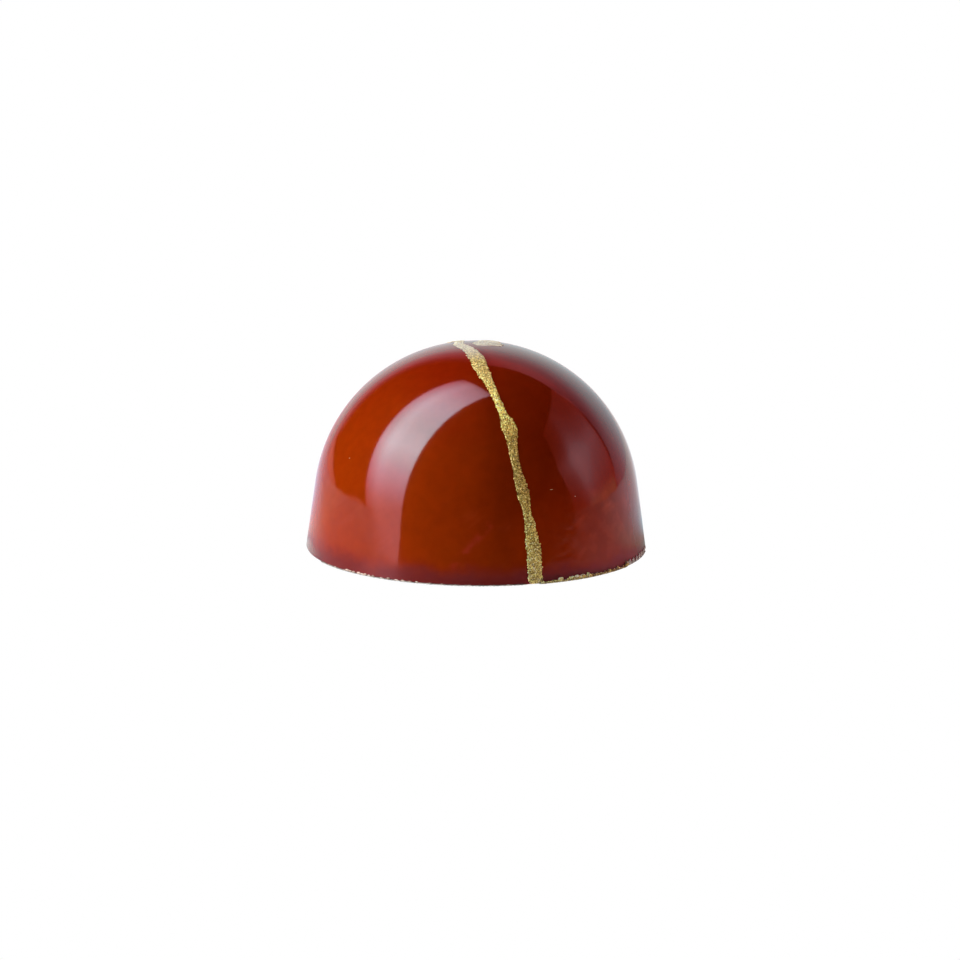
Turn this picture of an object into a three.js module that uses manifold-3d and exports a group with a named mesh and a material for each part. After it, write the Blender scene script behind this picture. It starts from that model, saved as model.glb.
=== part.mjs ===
// A moulded chocolate praline: a glossy dome that eases into a short flared wall, crossed
// from foot to foot by a wavy line of gold paint. A second gold line starts beside the crown
// and runs down the back, and a thin trace of gold follows part of the foot.
// Shell and paint hold together, so they are one solid.
// Millimetres, +Z up, origin at the middle of the flat base, front towards -Y.
import * as THREE from "three";
import { LoftGeometry } from "three/addons/geometries/LoftGeometry.js";
import { mergeVertices } from "three/addons/utils/BufferGeometryUtils.js";
import Module from "manifold-3d";

// The moulded shell.
const BASE_DIAMETER = 30;
const HEIGHT = 18.2;
const DOME_RADIUS = 14.33;
const FOOT_ROUND = 0.15;
const SHELL_COLOUR = 0x8a2604;

// The gold paint: how far a line stands proud, and how far it is keyed into the shell.
const PAINT_RISE = 0.12;
const PAINT_ROOT = 0.4;

// Facets.
const SHELL_SEGMENTS = 72;
const DOME_STEPS = 18;
const FOOT_STEPS = 3;
const LINE_STEPS_PER_STATION = 3;
const LINE_SECTION_POINTS = 8;

// Stations of each painted line, as [azimuth, drop, width]: degrees round from the front
// (positive to the right), degrees down from the crown as seen from the dome's centre, and
// the line's width in millimetres. A drop past the foot is trimmed level with the base.
const MAIN_LINE = [
  [20.0, 106, 1.25],
  [19.6, 94, 1.3],
  [18.6, 85, 0.95],
  [18.0, 81.5, 0.75],
  [16.6, 74, 1.1],
  [15.0, 65, 0.72],
  [14.5, 57, 0.9],
  [14.3, 51.5, 1.35],
  [12.6, 46, 0.72],
  [10.3, 38, 0.68],
  [8.0, 32, 0.85],
  [3.6, 24, 1.25],
  [-1.5, 17.8, 1.4],
  [-18, 10.2, 1.2],
  [-84, 7, 1.1],
  [-140, 12, 0.95],
  [-150, 22, 1.2],
  [-148, 34, 0.8],
  [-153, 46, 1.1],
  [-151, 58, 0.75],
  [-156, 70, 1.15],
  [-158, 82, 0.8],
  [-157, 94, 1.2],
  [-158, 106, 1.25],
];
const CROWN_LINE = [
  [40, 4.6, 0.8],
  [55, 3.2, 2.1],
  [105, 3.0, 2.3],
  [145, 6.5, 1.8],
  [158, 13, 1.2],
  [166, 22, 0.85],
  [160, 33, 1.1],
  [163, 44, 0.7],
  [157, 56, 1.05],
  [159, 68, 0.75],
  [154, 80, 1.1],
  [155, 93, 0.85],
  [153, 106, 1.15],
];
const FOOT_TRACE = [
  [22, 103.6, 0.35],
  [30, 103.9, 0.45],
  [36, 104.1, 0.28],
  [44, 103.8, 0.5],
  [51, 104.1, 0.3],
  [58, 103.9, 0.45],
  [66, 104.0, 0.36],
  [73, 103.7, 0.62],
  [80, 103.3, 0.95],
  [87, 103.5, 0.8],
  [93, 103.9, 0.45],
  [104, 104.2, 0.25],
];

// Worked out from the driving dimensions: the dome's centre, and the lean of the straight
// wall that leaves the dome at a tangent and meets the base at its full diameter.
const baseRadius = BASE_DIAMETER / 2;
const domeCentre = HEIGHT - DOME_RADIUS;
const wallReach = Math.hypot(baseRadius, domeCentre);
const wallLean = Math.acos(DOME_RADIUS / wallReach) - Math.atan2(domeCentre, baseRadius);

// The revolved shell, its profile from the middle of the base out to the foot and up to the crown.
function shellGeometry() {
  const footCentre = baseRadius - FOOT_ROUND * (1 + Math.sin(wallLean)) / Math.cos(wallLean);
  const foot = new THREE.ArcCurve(footCentre, FOOT_ROUND, FOOT_ROUND, -Math.PI / 2, wallLean);
  const dome = new THREE.ArcCurve(0, domeCentre, DOME_RADIUS, wallLean, Math.PI / 2);
  const profile = [new THREE.Vector2(0, 0), ...foot.getPoints(FOOT_STEPS), ...dome.getPoints(DOME_STEPS)];
  return new THREE.LatheGeometry(profile, SHELL_SEGMENTS).rotateX(Math.PI / 2);
}

// The place on the shell, and its outward normal, that a direction from the dome's centre meets.
function onShell(direction) {
  const level = new THREE.Vector2(direction.x, direction.y);
  const lean = Math.max(Math.atan2(direction.z, level.length()), wallLean);
  const outward = level.normalize().multiplyScalar(Math.cos(lean));
  const normal = new THREE.Vector3(outward.x, outward.y, Math.sin(lean));
  const reach = DOME_RADIUS / direction.dot(normal);
  const place = direction.clone().multiplyScalar(reach);
  place.z += domeCentre;
  return { place, normal };
}

// The direction from the dome's centre to a station.
function stationDirection([azimuth, drop]) {
  const turn = THREE.MathUtils.degToRad(azimuth);
  const fall = THREE.MathUtils.degToRad(drop);
  return new THREE.Vector3(
    Math.sin(fall) * Math.sin(turn),
    -Math.sin(fall) * Math.cos(turn),
    Math.cos(fall),
  );
}

// A painted line through its stations: a low crowned ribbon that lies on the shell.
function lineGeometry(stations) {
  const route = new THREE.CatmullRomCurve3(stations.map(stationDirection));
  const steps = (stations.length - 1) * LINE_STEPS_PER_STATION;
  const sections = [];
  for (let step = 0; step <= steps; step++) {
    const along = step / steps;
    const { place, normal } = onShell(route.getPoint(along).normalize());
    const across = normal.clone().cross(route.getTangent(along)).normalize();
    sections.push(lineSection(place, normal, across, widthAt(stations, along)));
  }
  return new LoftGeometry(sections, { capStart: true, capEnd: true });
}

// One section of a line: half an ellipse above the shell, half of a deeper one below it.
function lineSection(place, normal, across, width) {
  const points = [];
  for (let i = 0; i < LINE_SECTION_POINTS; i++) {
    const turn = (i / LINE_SECTION_POINTS) * 2 * Math.PI;
    const lift = Math.sin(turn) * (Math.sin(turn) > 0 ? PAINT_RISE : PAINT_ROOT);
    const point = place.clone();
    point.addScaledVector(across, (Math.cos(turn) * width) / 2);
    point.addScaledVector(normal, lift);
    points.push(point);
  }
  return points;
}

// The width of a line between two stations, eased from one to the next.
function widthAt(stations, along) {
  const position = along * (stations.length - 1);
  const index = Math.min(Math.floor(position), stations.length - 2);
  const eased = THREE.MathUtils.smoothstep(position - index, 0, 1);
  return THREE.MathUtils.lerp(stations[index][2], stations[index + 1][2], eased);
}

// Joining and trimming of closed meshes.
const wasm = await Module();
wasm.setup();

function toSolid(geometry) {
  const bare = new THREE.BufferGeometry();
  bare.setAttribute("position", geometry.attributes.position);
  bare.setIndex(geometry.index);
  const merged = mergeVertices(bare);
  return new wasm.Manifold(new wasm.Mesh({
    numProp: 3,
    vertProperties: merged.attributes.position.array,
    triVerts: Uint32Array.from(merged.index.array),
  }));
}

function toGeometry(solid) {
  const { vertProperties, triVerts } = solid.getMesh();
  const geometry = new THREE.BufferGeometry();
  geometry.setAttribute("position", new THREE.BufferAttribute(vertProperties, 3));
  geometry.setIndex(new THREE.BufferAttribute(triVerts, 1));
  geometry.computeVertexNormals();
  return geometry;
}

// The shell with every line joined on, and what hangs past the foot trimmed off level.
function pralineGeometry() {
  const block = new THREE.BoxGeometry(2 * BASE_DIAMETER, 2 * BASE_DIAMETER, HEIGHT);
  const belowBase = toSolid(block.translate(0, 0, -HEIGHT / 2));
  let solid = toSolid(shellGeometry());
  for (const stations of [MAIN_LINE, CROWN_LINE, FOOT_TRACE]) {
    solid = solid.add(toSolid(lineGeometry(stations)).subtract(belowBase));
  }
  return toGeometry(solid);
}

const glossyShell = new THREE.MeshStandardMaterial({ color: SHELL_COLOUR, roughness: 0.15, metalness: 0 });
const praline = new THREE.Mesh(pralineGeometry(), glossyShell);
praline.name = "praline";

const group = new THREE.Group();
group.add(praline);

export default group;
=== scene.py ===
import bpy
import math
from mathutils import Matrix, Vector


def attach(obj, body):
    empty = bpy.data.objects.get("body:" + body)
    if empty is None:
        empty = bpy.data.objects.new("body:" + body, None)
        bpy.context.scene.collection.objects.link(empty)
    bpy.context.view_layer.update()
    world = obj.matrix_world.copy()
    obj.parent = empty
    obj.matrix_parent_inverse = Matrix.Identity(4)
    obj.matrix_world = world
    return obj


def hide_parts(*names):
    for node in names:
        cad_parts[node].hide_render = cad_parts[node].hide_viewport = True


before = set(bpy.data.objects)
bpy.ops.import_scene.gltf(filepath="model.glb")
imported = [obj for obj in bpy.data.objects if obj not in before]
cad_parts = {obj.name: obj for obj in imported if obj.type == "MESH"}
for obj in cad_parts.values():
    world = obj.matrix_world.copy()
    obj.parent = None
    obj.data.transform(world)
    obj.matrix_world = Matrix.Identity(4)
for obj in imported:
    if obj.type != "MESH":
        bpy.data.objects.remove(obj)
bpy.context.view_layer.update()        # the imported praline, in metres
mm = 0.001
deg = math.pi / 180
black = (0, 0, 0, 1)
white = (1, 1, 1, 1)
print("frame loaded:", ", ".join(sorted(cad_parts)))

# the moulded form: a dome on a flared wall that leaves it at a tangent
form = {
    "baseRadius": 15.0 * mm,
    "domeRadius": 14.33 * mm,
    "height": 18.2 * mm,
}
form["centre"] = form["height"] - form["domeRadius"]        # height of the dome's centre
footAngle = math.atan2(form["centre"], form["baseRadius"])
wallReach = math.hypot(form["centre"], form["baseRadius"])
form["lean"] = math.acos(form["domeRadius"] / wallReach) - footAngle
form["footDrop"] = math.pi / 2 + footAngle        # angle from the crown down to the foot
formSizes = {
    "Dome Radius": form["domeRadius"],
    "Dome Centre": form["centre"],
    "Wall Lean": form["lean"],
}
mergeGap = 0.002 * mm        # points as close as this become one


# helpers for node trees: what is fed to a socket is another socket, or a plain value

def feed(tree, socket, value):
    if isinstance(value, bpy.types.NodeSocket):
        tree.links.new(value, socket)
    else:
        socket.default_value = value


def feedAll(tree, node, feeds):
    for label, value in feeds.items():
        feed(tree, node.inputs[label], value)
    return node


def put(tree, kind, feeds=None, **settings):
    node = tree.nodes.new(kind)
    for key, value in settings.items():
        setattr(node, key, value)
    return feedAll(tree, node, feeds or {})


def calc(tree, operation, *values, clamp=False):
    feeds = dict(enumerate(values))
    return put(tree, "ShaderNodeMath", feeds, operation=operation, use_clamp=clamp).outputs[0]


def times(tree, first, *others):
    for value in others:
        first = calc(tree, "MULTIPLY", first, value)
    return first


def vec(tree, operation, *values):
    node = put(tree, "ShaderNodeVectorMath", dict(enumerate(values)), operation=operation)
    return node.outputs["Value" if operation in ("DOT_PRODUCT", "LENGTH") else "Vector"]


def stretch(tree, vector, factor):
    feeds = {0: vector, "Scale": factor}
    return put(tree, "ShaderNodeVectorMath", feeds, operation="SCALE").outputs["Vector"]


def combine(tree, x, y, z):
    return put(tree, "ShaderNodeCombineXYZ", {"X": x, "Y": y, "Z": z}).outputs[0]


def up(tree, height):
    return combine(tree, 0.0, 0.0, height)


def split(tree, vector):
    return put(tree, "ShaderNodeSeparateXYZ", {"Vector": vector}).outputs


def remap(tree, value, fromMin, fromMax, toMin=0.0, toMax=1.0, smooth=True):
    ranges = {"Value": value, "From Min": fromMin, "From Max": fromMax, "To Min": toMin, "To Max": toMax}
    kind = "SMOOTHSTEP" if smooth else "LINEAR"
    return put(tree, "ShaderNodeMapRange", ranges, interpolation_type=kind).outputs["Result"]


def noise(tree, where, scale, detail=2.0, roughness=0.5):
    sizes = {"Vector": where, "Scale": scale, "Detail": detail, "Roughness": roughness}
    return put(tree, "ShaderNodeTexNoise", sizes).outputs[0]


# noise that sways either way from 1 by a share
def sway(tree, where, scale, share, detail=2.0):
    level = calc(tree, "SUBTRACT", noise(tree, where, scale, detail), 0.5)
    return calc(tree, "MULTIPLY_ADD", times(tree, level, 2.0), share, 1.0)


# a colour or a grey from stops of (place, colour or grey)
def ramp(tree, factor, stops):
    node = put(tree, "ShaderNodeValToRGB", {"Fac": factor})
    elements = node.color_ramp.elements
    while len(elements) < len(stops):
        elements.new(0.5)
    for element, (place, level) in zip(elements, stops):
        element.position = place
        element.color = (*level, 1) if isinstance(level, tuple) else (level, level, level, 1)
    return node.outputs[0]


def nodeOf(tree, kind):
    return next(node for node in tree.nodes if node.type == kind)


socketKinds = {int: "NodeSocketInt", float: "NodeSocketFloat", bpy.types.Material: "NodeSocketMaterial"}
meshSocket = {"Geometry": "NodeSocketGeometry"}


# an input is a kind of socket, or a piece's size that gives both kind and value
def newTree(name, inputs, outputs=meshSocket):
    tree = bpy.data.node_groups.new(name, "GeometryNodeTree")
    for label, value in inputs.items():
        bare = isinstance(value, str)
        kind = value if bare else socketKinds[type(value)]
        socket = tree.interface.new_socket(label, in_out="INPUT", socket_type=kind)
        if not bare:
            socket.default_value = value
    for label, kind in outputs.items():
        tree.interface.new_socket(label, in_out="OUTPUT", socket_type=kind)
    given = tree.nodes.new("NodeGroupInput").outputs
    result = tree.nodes.new("NodeGroupOutput").inputs
    return tree, given, result


def position(tree):
    return put(tree, "GeometryNodeInputPosition").outputs[0]


def normalAt(tree):
    return put(tree, "GeometryNodeInputNormal").outputs[0]


def named(tree, name, kind="FLOAT"):
    return put(tree, "GeometryNodeInputNamedAttribute", {"Name": name}, data_type=kind).outputs[0]


def store(tree, geometry, name, value):
    feeds = {"Geometry": geometry, "Name": name, "Value": value}
    return put(tree, "GeometryNodeStoreNamedAttribute", feeds, data_type="FLOAT", domain="POINT").outputs[0]


# a flat sheet of faces, to be bent into shape
def makeSheet(tree, width, depth, columns, rows):
    sizes = {
        "Size X": width,
        "Size Y": depth,
        "Vertices X": calc(tree, "ADD", columns, 1.0),
        "Vertices Y": calc(tree, "ADD", rows, 1.0),
    }
    return put(tree, "GeometryNodeMeshGrid", sizes).outputs["Mesh"]


def moveTo(tree, geometry, place):
    return put(tree, "GeometryNodeSetPosition", {"Geometry": geometry, "Position": place}).outputs[0]


def moveBy(tree, geometry, offset):
    return put(tree, "GeometryNodeSetPosition", {"Geometry": geometry, "Offset": offset}).outputs[0]


# a place, lifted where it is lower than a gap above the floor
def keepAbove(tree, place, gap):
    return vec(tree, "MAXIMUM", place, combine(tree, -1.0, -1.0, gap))


def flip(tree, mesh):
    return put(tree, "GeometryNodeFlipFaces", {"Mesh": mesh}).outputs[0]


def closeSeams(tree, mesh):
    return put(tree, "GeometryNodeMergeByDistance", {"Geometry": mesh, "Distance": mergeGap}).outputs[0]


def realize(tree, geometry):
    return put(tree, "GeometryNodeRealizeInstances", {"Geometry": geometry}).outputs[0]


def endTree(tree, given, result, geometry):
    coloured = put(tree, "GeometryNodeSetMaterial", {"Geometry": geometry, "Material": given["Material"]})
    feed(tree, result["Geometry"], coloured.outputs[0])


# a mesh object at the origin, linked to the scene
def newPiece(name, mesh):
    piece = bpy.data.objects.new(name, mesh)
    bpy.context.scene.collection.objects.link(piece)
    return piece


# keeps what the piece's modifiers make as its plain mesh
def settle(piece):
    depsgraph = bpy.context.evaluated_depsgraph_get()
    mesh = bpy.data.meshes.new_from_object(piece.evaluated_get(depsgraph), depsgraph=depsgraph)
    piece.modifiers.clear()
    piece.data = mesh
    mesh.name = piece.name
    return piece


# runs a tree on a host mesh, with its inputs set by their identifiers
def grow(name, tree, sizes, host=None):
    piece = newPiece(name, host or bpy.data.meshes.new(name))
    modifier = piece.modifiers.new("grow", "NODES")
    modifier.node_group = tree
    for item in tree.interface.items_tree:
        if item.item_type == "SOCKET" and item.in_out == "INPUT" and item.name in sizes:
            modifier[item.identifier] = sizes[item.name]
    return settle(piece)


# the place on the moulded form, and its outward normal, met by a direction from the dome's centre
def makeFormTree():
    vector = "NodeSocketVector"
    tree, given, result = newTree("moulded form", {"Direction": vector, **formSizes},
                                  {"Position": vector, "Normal": vector})
    direction = vec(tree, "NORMALIZE", given["Direction"])
    parts = split(tree, direction)
    level = combine(tree, parts["X"], parts["Y"], 0.0)
    rise = calc(tree, "ARCTAN2", parts["Z"], vec(tree, "LENGTH", level))
    lean = calc(tree, "MAXIMUM", rise, given["Wall Lean"])
    outward = stretch(tree, vec(tree, "NORMALIZE", level), calc(tree, "COSINE", lean))
    normal = vec(tree, "ADD", outward, up(tree, calc(tree, "SINE", lean)))
    reach = calc(tree, "DIVIDE", given["Dome Radius"], vec(tree, "DOT_PRODUCT", direction, normal))
    place = vec(tree, "ADD", stretch(tree, direction, reach), up(tree, given["Dome Centre"]))
    feed(tree, result["Position"], place)
    feed(tree, result["Normal"], normal)
    return tree


formTree = makeFormTree()


def onForm(tree, given, direction):
    feeds = {"Direction": direction, **{label: given[label] for label in formSizes}}
    node = put(tree, "GeometryNodeGroup", feeds, node_tree=formTree)
    return node.outputs["Position"], node.outputs["Normal"]


# materials

def newMaterial(name):
    material = bpy.data.materials.new(name)
    material.use_nodes = True
    tree = material.node_tree
    where = put(tree, "ShaderNodeTexCoord").outputs["Object"]
    return material, tree, nodeOf(tree, "BSDF_PRINCIPLED"), where


def blendColours(tree, factor, first, second):
    return put(tree, "ShaderNodeMix", {0: factor, 6: first, 7: second}, data_type="RGBA").outputs[2]


def attribute(tree, name):
    return put(tree, "ShaderNodeAttribute", attribute_name=name).outputs["Fac"]


def addBump(tree, shader, height, distance, strength=1.0):
    bump = put(tree, "ShaderNodeBump", {"Height": height, "Distance": distance, "Strength": strength})
    feed(tree, shader.inputs["Normal"], bump.outputs["Normal"])


# coloured cocoa butter over chocolate, its red and orange partly its own tones and partly painted light:
# orange low on the lit side, red in painted shade to the crown and the other side, and a brighter red as
# painted light high at the left
shellFinish = {
    "red": (0.147, 0.0088, 0.0004, 1.0),
    "litCrownRed": (0.205, 0.0092, 0.0004, 1.0),
    "orange": (0.270, 0.0250, 0.0005, 1.0),
    "deepOrange": (0.312, 0.0268, 0.0010, 1.0),
    "crimson": (0.175, 0.0066, 0.0045, 1.0),        # where the band's painted shade begins
    "footShadeWarm": (0.160, 0.0090, 0.0050, 1.0),
    "footShadeCool": (0.150, 0.0095, 0.028, 1.0),
    "smear": (0.34, 0.040, 0.015, 1.0),
    "rubbed": (0.36, 0.030, 0.016, 1.0),
    "fadeTowards": (-0.62, -0.30, -0.72),        # the way the orange grows, toward the lit lower left
    "fadeRange": (-12.0 * mm, 5.0 * mm),
    "fadeWander": 6.0 * mm,
    "deepRange": (4.0 * mm, 8.5 * mm),
    "litCrownTowards": (-0.55, -0.25, 0.80),
    "litCrownRange": (12.5 * mm, 16.5 * mm),
    "cloudScale": 260.0,
    "mottleScale": 1100.0,
    "mottleRange": (0.3, 0.7),
    "mottleDepth": 0.06,
    "smearAlong": (0.67, 0.3, 0.67),        # the way the rubbed streaks run
    "smearAcross": (-0.707, 0.0, 0.707),
    "smearScale": 240.0,
    "smearFineness": 4.0,        # how much closer the streaks lie
    "smearRange": (0.54, 0.70),        # of the noise, then of the clouds
    "smearClouds": (0.42, 0.60),
    "smearHeights": (9.0 * mm, 5.0 * mm),
    "smearDepth": 0.3,
    "patchScale": 620.0,        # soft patches at the right
    "patchRange": (0.50, 0.66),
    "patchStart": (18 * deg, 36 * deg),
    "patchStop": (100 * deg, 70 * deg),
    "patchHeights": (11.0 * mm, 5.0 * mm),
    "patchDepth": 0.17,
    "rubFrom": (-1.9 * mm, 0.0, 1.7 * mm),        # the plainest streak, in front
    "rubTo": (1.1 * mm, 0.0, 5.1 * mm),
    "rubWidth": 0.55 * mm,
    "rubMottle": (0.35, 0.6),
    "rubFront": (0.0, -5.0 * mm),
    "rubDepth": 0.55,
    "goldShadeAt": 9 * deg,        # painted shade, a little darker beside the gold
    "goldShadeWide": 11 * deg,
    "goldShadeBy": 0.15,
    "bandRange": (0.4 * mm, 2.3 * mm),        # the dull band along the foot, darkened with painted contact shade and a painted floor reflection
    "bandCover": 0.95,
    "bandWander": 2.6 * mm,        # how far its upper edge strays
    "bandScale": (280.0, 280.0, 420.0),
    "crimsonRange": (0.3, 0.9),
    "roughness": 0.07,
    "bandRoughness": 0.24,
    "bandDullest": 0.9,        # share of the band at which it is as rough as that
    "waveScale": 850.0,
    "waveHeight": 0.017 * mm,
    "waveHeights": (11.0 * mm, 3.0 * mm, 0.15, 1.0),        # fainter high up
    "waveSides": (-7.0 * mm, 1.0 * mm, 0.2, 1.0),        # and at the left
    "scatter": 0.12,
    "scatterRadius": (1.0, 0.25, 0.1),
    "scatterScale": 0.8 * mm,
}


def makeShellMaterial(look):
    material, tree, shader, where = newMaterial("cocoa butter shell")
    spot = split(tree, where)
    height = spot["Z"]
    azimuth = calc(tree, "ARCTAN2", spot["X"], times(tree, spot["Y"], -1.0))
    cloud = noise(tree, where, look["cloudScale"], detail=3.0)
    mottle = noise(tree, where, look["mottleScale"], detail=3.0)

    # red, then orange with a cloudy edge toward the lit lower left: partly the coat's own tones, partly
    # painted light
    along = vec(tree, "DOT_PRODUCT", where, look["fadeTowards"])
    shift = calc(tree, "MULTIPLY_ADD", cloud, look["fadeWander"], -look["fadeWander"] / 2)
    fade = remap(tree, calc(tree, "ADD", along, shift), *look["fadeRange"])
    # painted light: a brighter red high on the side where the softbox falls
    upper = remap(tree, vec(tree, "DOT_PRODUCT", where, look["litCrownTowards"]), *look["litCrownRange"])
    red = blendColours(tree, upper, look["red"], look["litCrownRed"])
    colour = blendColours(tree, fade, red, look["orange"])
    colour = blendColours(tree, remap(tree, along, *look["deepRange"]), colour, look["deepOrange"])

    # rubbed streaks that rise to the right, low on the wall, and soft patches
    across = times(tree, vec(tree, "DOT_PRODUCT", where, look["smearAcross"]), look["smearFineness"])
    streak = combine(tree, vec(tree, "DOT_PRODUCT", where, look["smearAlong"]), across, spot["Y"])
    smears = noise(tree, streak, look["smearScale"], detail=3.0)
    smears = remap(tree, smears, *look["smearRange"], 0.0, look["smearDepth"])
    smears = times(tree, smears, remap(tree, cloud, *look["smearClouds"]),
                   remap(tree, height, *look["smearHeights"]))
    patches = noise(tree, where, look["patchScale"])
    patches = remap(tree, patches, *look["patchRange"], 0.0, look["patchDepth"])
    patches = times(tree, patches, remap(tree, azimuth, *look["patchStart"]),
                    remap(tree, azimuth, *look["patchStop"]), remap(tree, height, *look["patchHeights"]))
    colour = blendColours(tree, calc(tree, "ADD", smears, patches), colour, look["smear"])

    # the streak in front, by the gap from its middle line
    span = Vector(look["rubTo"]) - Vector(look["rubFrom"])
    offset = vec(tree, "MULTIPLY", vec(tree, "SUBTRACT", where, look["rubFrom"]), (1.0, 0.0, 1.0))
    share = calc(tree, "DIVIDE", vec(tree, "DOT_PRODUCT", offset, span), span.dot(span), clamp=True)
    gap = vec(tree, "LENGTH", vec(tree, "SUBTRACT", offset, stretch(tree, span, share)))
    rub = remap(tree, gap, look["rubWidth"], 0.0, 0.0, look["rubDepth"])
    rub = times(tree, rub, remap(tree, mottle, *look["rubMottle"]), remap(tree, spot["Y"], *look["rubFront"]))
    colour = blendColours(tree, rub, colour, look["rubbed"])

    # painted shade beside the gold, and mottled all over
    aside = calc(tree, "ABSOLUTE", calc(tree, "SUBTRACT", azimuth, look["goldShadeAt"]))
    colour = stretch(tree, colour, remap(tree, aside, look["goldShadeWide"], 0.0, 1.0, 1 - look["goldShadeBy"]))
    deep = look["mottleDepth"]
    depth = remap(tree, mottle, *look["mottleRange"], 1 - deep, 1 + deep, smooth=False)
    colour = stretch(tree, colour, depth)

    # the dull band along the foot: rougher, and darker and purple as painted contact shade and a painted
    # floor reflection, warmer on the lit side
    stray = noise(tree, vec(tree, "MULTIPLY", where, look["bandScale"]), 1.0, detail=5.0, roughness=0.6)
    strayed = calc(tree, "MULTIPLY_ADD", calc(tree, "SUBTRACT", stray, 0.5), look["bandWander"], height)
    low = remap(tree, strayed, *look["bandRange"], look["bandCover"], 0.0)
    foot = blendColours(tree, fade, look["footShadeCool"], look["footShadeWarm"])
    foot = blendColours(tree, remap(tree, low, *look["crimsonRange"]), look["crimson"], foot)
    rough = remap(tree, low, 0.0, look["bandDullest"], look["roughness"], look["bandRoughness"])

    wave = noise(tree, where, look["waveScale"], detail=3.0)
    waviness = times(tree, remap(tree, height, *look["waveHeights"]),
                     remap(tree, spot["X"], *look["waveSides"]))
    addBump(tree, shader, wave, look["waveHeight"], waviness)
    feedAll(tree, shader, {
        "Base Color": blendColours(tree, low, colour, foot),
        "Roughness": rough,
        "Subsurface Weight": look["scatter"],
        "Subsurface Radius": look["scatterRadius"],
        "Subsurface Scale": look["scatterScale"],
    })
    return material


goldFinish = {
    "tones": [(0.0, (0.10, 0.066, 0.012)), (0.25, (0.37, 0.275, 0.062)), (0.55, (0.60, 0.47, 0.120)),
              (0.8, (0.72, 0.58, 0.170)), (0.9, (0.94, 0.78, 0.30))],
    "lightByHeight": [        # painted light and shade that the tones are multiplied by, from the foot to the crown: brightest where the softbox's highlight falls, paler low down as a painted floor reflection
        (0.0, (0.455, 0.50, 0.62)), (0.20, (0.43, 0.445, 0.42)), (0.36, (0.365, 0.35, 0.295)),
        (0.45, (0.325, 0.295, 0.235)), (0.61, (0.32, 0.27, 0.19)), (0.71, (0.40, 0.335, 0.235)),
        (0.80, (0.69, 0.615, 0.49)), (0.87, (0.46, 0.405, 0.35)), (0.94, (0.365, 0.32, 0.30)),
        (0.975, (0.375, 0.33, 0.29)), (1.0, (0.40, 0.40, 0.51)),
    ],
    "gain": 3.45,        # and all of that again, up to the brightest
    "brightest": (0.97, 0.97, 0.97),
    "crownPaintedSheen": (0.76, 0.72, 0.65, 1.0),        # painted reflection that pales the gold over the crown
    "sheenRange": (0.960, 0.998),
    "sheenMost": 0.55,
    "patchScale": 900.0,
    "patchRange": (0.7, 1.4, 0.2, 0.9),        # of the noises together, then of the tones
    "edgeShadeRange": (0.86, 0.97),        # painted contact shade, darker at its edges
    "grainScale": 6000.0,
    "grainRange": (0.2, 0.8),
    "grainDepth": 0.03 * mm,
    "metallic": 0.30,
    "roughness": 0.32,
    "roughnessSpread": 0.1,
    "coat": 0.4,
    "coatRoughness": 0.25,
    "specular": 0.3,
}
filmFinish = {
    **goldFinish,
    # a dark film, as painted shade between the flakes
    "tones": [(0.0, (0.030, 0.010, 0.002)), (0.4, (0.26, 0.18, 0.038)), (1.0, (0.46, 0.35, 0.090))],
    "metallic": 0.08,
    "roughness": 0.5,
    "coat": 0.0,
    "specular": 0.0,
}
# painted contact shade: darker and bluer at the very bottom of the trace
traceShadeByHeight = [(0.005, (0.22, 0.26, 0.38)), (0.015, (0.74, 0.77, 0.76)), (1.0, (0.74, 0.77, 0.76))]
traceFinish = {**goldFinish, "lightByHeight": traceShadeByHeight}
traceFilmFinish = {
    **filmFinish,
    # a dark film, as painted shade between the flakes
    "tones": [(0.0, (0.05, 0.03, 0.02)), (0.4, (0.20, 0.16, 0.10)), (1.0, (0.38, 0.33, 0.23))],
    "lightByHeight": traceShadeByHeight,
}
fleckFinish = {
    **goldFinish,
    "tones": [(0.0, (0.42, 0.26, 0.16)), (0.5, (0.70, 0.50, 0.34)), (1.0, (0.95, 0.82, 0.62))],
    "lightByHeight": [(0.0, (0.28, 0.27, 0.265)), (1.0, (0.28, 0.27, 0.265))],
}
lineFinish = {
    **fleckFinish,
    "tones": [(0.0, (0.20, 0.18, 0.14)), (0.5, (0.34, 0.31, 0.25)), (1.0, (0.55, 0.50, 0.40))],
    "lightByHeight": [(0.0, (0.30, 0.29, 0.27)), (1.0, (0.30, 0.29, 0.27))],
}
endFinish = {
    **traceFilmFinish,
    "tones": [(0.0, (0.12, 0.115, 0.105)), (0.5, (0.34, 0.33, 0.31)), (1.0, (0.80, 0.79, 0.75))],
    # painted contact shade, darker at the very bottom
    "lightByHeight": [(0.0, (0.20, 0.215, 0.225)), (0.010, (0.36, 0.375, 0.355)), (1.0, (0.36, 0.375, 0.355))],
}


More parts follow.
